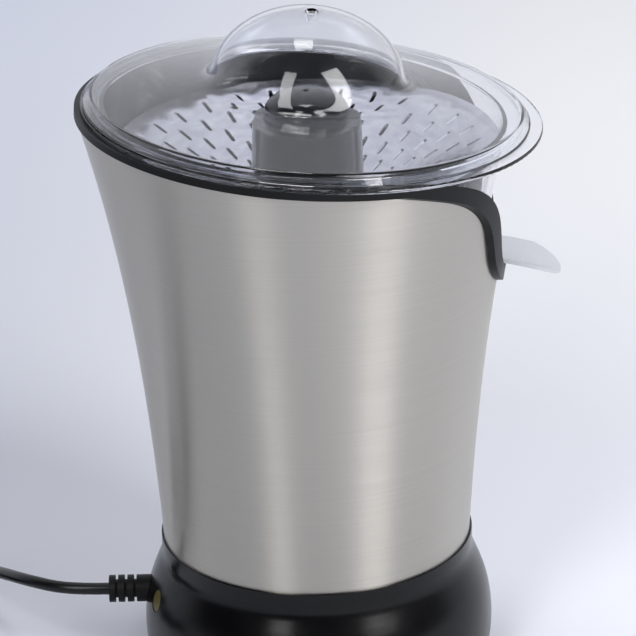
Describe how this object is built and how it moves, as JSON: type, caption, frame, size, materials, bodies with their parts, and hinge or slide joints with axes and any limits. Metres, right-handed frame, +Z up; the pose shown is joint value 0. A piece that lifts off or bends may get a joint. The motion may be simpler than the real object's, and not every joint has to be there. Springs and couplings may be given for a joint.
{
  "type": "citrus juicer",
  "caption": "Electric citrus juicer: flared steel body on a black base, clear bowl with a spout in a front notch, funnel strainer, press-to-start reamer and clear domed lid.",
  "frame": {"origin": "on the table, under the drive axis", "axes": "+Z up along the drive axis, +X towards the spout"},
  "size_m": [0.322, 0.1724, 0.2633],
  "materials": {
    "base": "black moulded plastic with a satin sheen",
    "disc": "olive bare disc",
    "inner_plastic": "black structural plastic",
    "rubber": "soft black rubber",
    "body_steel": "steel brushed around the body",
    "well": "black plastic",
    "trim": "black satin plastic",
    "clear": "clear plastic with a faint grey tint",
    "polished_steel": "polished steel",
    "reamer": "dark glossy plastic",
    "plate_metal": "plain sheet metal",
    "shaft_steel": "ground steel",
    "gear": "off-white plastic",
    "brass": "plain brass",
    "core": "stacked iron sheet",
    "copper": "enamelled copper wire",
    "screw_steel": "plated steel",
    "cord": "black cord sheath"
  },
  "bodies": {
    "housing": {"base_shell": "base", "rating_disc": "disc", "bottom_plate": "inner_plastic", "rubber_ring": "rubber", "steel_shell": "body_steel", "inner_well": "well", "trim_ring": "trim", "gear_plate": "plate_metal", "idler_pin": "shaft_steel", "spindle_bush": "brass", "shaft_seal": "rubber", "motor_can": "plate_metal", "motor_end_cap": "inner_plastic", "stator_core": "core", "lower_bearing": "shaft_steel", "upper_bearing": "shaft_steel", "motor_screws": "screw_steel", "lower_posts": "inner_plastic", "upper_posts": "inner_plastic", "tie_rods": "screw_steel", "microswitch": "inner_plastic", "switch_bracket": "plate_metal", "switch_screws": "screw_steel", "return_spring": "shaft_steel", "cord_gland": "rubber", "inner_lead": "cord", "cord_clamp": "inner_plastic", "clamp_screws": "screw_steel", "terminal_block": "gear", "power_cord": "cord", "cord_coil": "cord", "cord_tie": "cord", "plug_body": "cord", "plug_pins": "brass"},
    "rotor": {"motor_shaft": "shaft_steel", "motor_pinion": "brass", "rotor_core": "core", "rotor_winding": "copper", "cooling_fan": "inner_plastic"},
    "idler": {"idler_gear": "gear"},
    "spindle": {"drive_spindle": "shaft_steel", "output_gear": "gear"},
    "start_rod": {"push_rod": "shaft_steel", "switch_button": "gear"},
    "bowl": {"juice_bowl": "clear"},
    "strainer": {"strainer": "polished_steel"},
    "lid": {"lid": "clear"},
    "hub": {"reamer_hub": "inner_plastic"},
    "reamer": {"reamer": "reamer"}
  },
  "joints": [
    {"name": "motor_spin", "type": "hinge", "parent": "housing", "child": "rotor", "pos_m": [0, 0, 0.06], "axis": [0, 0, 1], "continuous": true},
    {"name": "idler_spin", "type": "hinge", "parent": "housing", "child": "idler", "pos_m": [0, 0.03, 0.12], "axis": [0, 0, 1], "continuous": true},
    {"name": "spindle_spin", "type": "hinge", "parent": "housing", "child": "spindle", "pos_m": [0, 0, 0.15], "axis": [0, 0, 1], "continuous": true},
    {"name": "bowl_lift", "type": "slide", "parent": "housing", "child": "bowl", "axis": [0, 0, 1], "range_m": [0, 0.06]},
    {"name": "strainer_lift", "type": "slide", "parent": "bowl", "child": "strainer", "axis": [0, 0, 1], "range_m": [0, 0.03]},
    {"name": "lid_lift", "type": "slide", "parent": "strainer", "child": "lid", "axis": [0, 0, 1], "range_m": [0, 0.06]},
    {"name": "hub_spin", "type": "hinge", "parent": "strainer", "child": "hub", "pos_m": [0, 0, 0.2], "axis": [0, 0, 1], "continuous": true},
    {"name": "reamer_press", "type": "slide", "parent": "hub", "child": "reamer", "axis": [0, 0, 1], "range_m": [-0.0015, 0], "stiffness_N_per_m": 400, "springref_m": 0.003},
    {"name": "start_press", "type": "slide", "parent": "housing", "child": "start_rod", "axis": [0, 0, 1], "range_m": [-0.0015, 0], "deforming": ["return_spring"]}
  ],
  "couplings": [
    {"joint": "idler_spin", "follows": "motor_spin", "ratio": -0.25},
    {"joint": "spindle_spin", "follows": "motor_spin", "ratio": 0.0625},
    {"joint": "hub_spin", "follows": "motor_spin", "ratio": 0.0625},
    {"joint": "start_press", "follows": "reamer_press", "ratio": 1}
  ]
}
